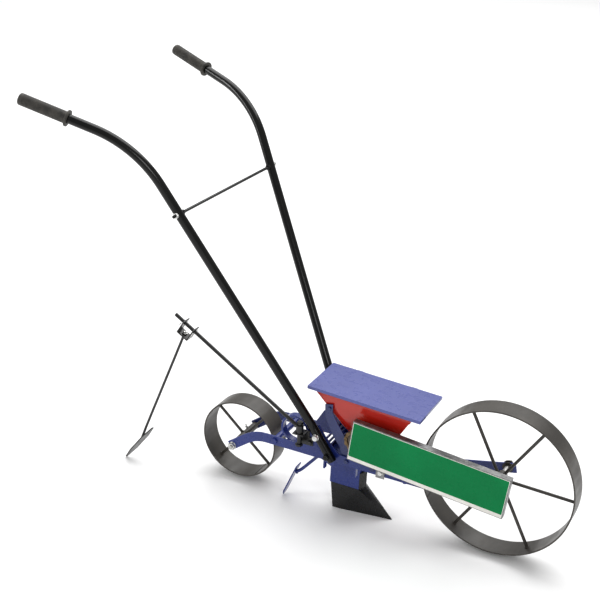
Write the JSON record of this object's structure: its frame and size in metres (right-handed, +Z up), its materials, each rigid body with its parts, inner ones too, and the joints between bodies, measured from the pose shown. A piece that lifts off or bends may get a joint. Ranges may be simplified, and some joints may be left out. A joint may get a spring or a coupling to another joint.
{
  "type": "push seeder",
  "caption": "Hand-pushed single-row seed drill: hopper over a chain-driven seed roller between two wheels, with opener, coverer, handles and folding marker.",
  "frame": {"origin": "centre of the bounding box, on the plane of the furrow opener's sole", "axes": "+X forward (direction of travel), +Y to the operator's left, +Z up"},
  "size_m": [1.2461, 0.6586, 0.9794],
  "materials": {
    "frame_blue": "gloss enamel",
    "bracket_navy": "gloss enamel",
    "lid_blue": "gloss enamel",
    "hopper_red": "gloss enamel",
    "wheel_steel": "dark satin lacquer on rolled steel strip",
    "zinc": "zinc plated",
    "shaft_steel": "turned, oiled",
    "bush_iron": "oiled sintered iron",
    "sprocket_steel": "blackened, oiled",
    "chain_steel": "oiled, slightly brown",
    "roller_plastic": "turned",
    "brush_bristle": "bristle in a bar",
    "cast_aluminium": "as cast",
    "guard_steel": "galvanised sheet",
    "panel_green": "printed gloss panel with a pale border",
    "opener_black": "gloss black enamel",
    "handle_black": "gloss black enamel",
    "grip_rubber": "ribbed moulded",
    "marker_black": "satin black enamel"
  },
  "bodies": {
    "frame": {"right_side_plate": "frame_blue", "left_side_plate": "frame_blue", "frame_spacers": "frame_blue", "frame_bolts": "frame_blue", "tie_rods": "frame_blue", "frame_hoop": "frame_blue", "front_bushes": "bush_iron", "rear_axle": "shaft_steel", "rear_axle_nuts": "zinc", "drive_chain": "chain_steel", "shaft_bushes": "bush_iron", "roller_brush": "brush_bristle", "metering_housing": "cast_aluminium", "housing_bolts": "zinc", "chain_guard": "guard_steel", "guard_panel": "panel_green", "guard_bolts": "zinc", "hopper": "hopper_red", "rear_hopper_brackets": "bracket_navy", "front_hopper_brackets": "bracket_navy", "hopper_bolts": "bracket_navy", "hopper_hinges": "zinc", "hinge_pins": "zinc", "seed_boot": "frame_blue", "boot_straps": "frame_blue", "furrow_opener": "opener_black", "coverer_pin": "shaft_steel", "right_handle_tube": "handle_black", "left_handle_tube": "handle_black", "right_grip": "grip_rubber", "left_grip": "grip_rubber", "cross_rod": "handle_black", "cross_rod_nuts": "handle_black", "handle_bolts": "zinc", "marker_bracket": "marker_black", "marker_pivot": "marker_black"},
    "front_wheel": {"front_rim": "wheel_steel", "front_spokes": "wheel_steel", "front_hub": "wheel_steel", "front_axle": "shaft_steel", "front_axle_nuts": "wheel_steel", "drive_sprocket": "sprocket_steel"},
    "rear_wheel": {"rear_rim": "wheel_steel", "rear_spokes": "wheel_steel", "rear_hub": "wheel_steel", "rear_hub_nipple": "zinc"},
    "metering": {"metering_shaft": "shaft_steel", "seed_roller": "roller_plastic", "driven_sprocket": "sprocket_steel", "shaft_collars": "shaft_steel"},
    "lid": {"hopper_lid": "lid_blue", "lid_knuckles": "lid_blue"},
    "coverer": {"coverer_rod": "frame_blue", "coverer_blade": "frame_blue"},
    "marker_arm": {"marker_arm": "marker_black", "marker_cotters": "zinc"},
    "marker_drop": {"marker_clamp": "marker_black", "marker_nut": "zinc", "marker_rod": "marker_black", "marker_blade": "marker_black"}
  },
  "joints": [
    {"name": "front_wheel_spin", "type": "hinge", "parent": "frame", "child": "front_wheel", "pos_m": [0.4425, 0, 0.193], "axis": [0, 1, 0], "continuous": true},
    {"name": "metering_spin", "type": "hinge", "parent": "frame", "child": "metering", "pos_m": [0.11395, 0, 0.225], "axis": [0, 1, 0], "continuous": true},
    {"name": "rear_wheel_spin", "type": "hinge", "parent": "frame", "child": "rear_wheel", "pos_m": [-0.212, 0, 0.113], "axis": [0, 1, 0], "continuous": true},
    {"name": "lid_open", "type": "hinge", "parent": "frame", "child": "lid", "pos_m": [0.12455, 0.0752, 0.32206], "axis": [-0.9987, 0, 0.0506], "range_deg": [0, 110]},
    {"name": "marker_swing", "type": "hinge", "parent": "frame", "child": "marker_arm", "pos_m": [-0.024, -0.082, 0.225], "axis": [0, 0, 1], "range_deg": [0, 90]},
    {"name": "marker_turn", "type": "hinge", "parent": "marker_arm", "child": "marker_drop", "pos_m": [-0.327, -0.082, 0.41105], "axis": [-0.8522, 0, 0.5233], "range_deg": [-45, 45]},
    {"name": "coverer_lift", "type": "hinge", "parent": "frame", "child": "coverer", "pos_m": [0.02, -0.032, 0.152], "axis": [0, 1, 0], "range_deg": [0, 18]}
  ],
  "couplings": [
    {"joint": "metering_spin", "follows": "front_wheel_spin", "ratio": 1.3333}
  ]
}
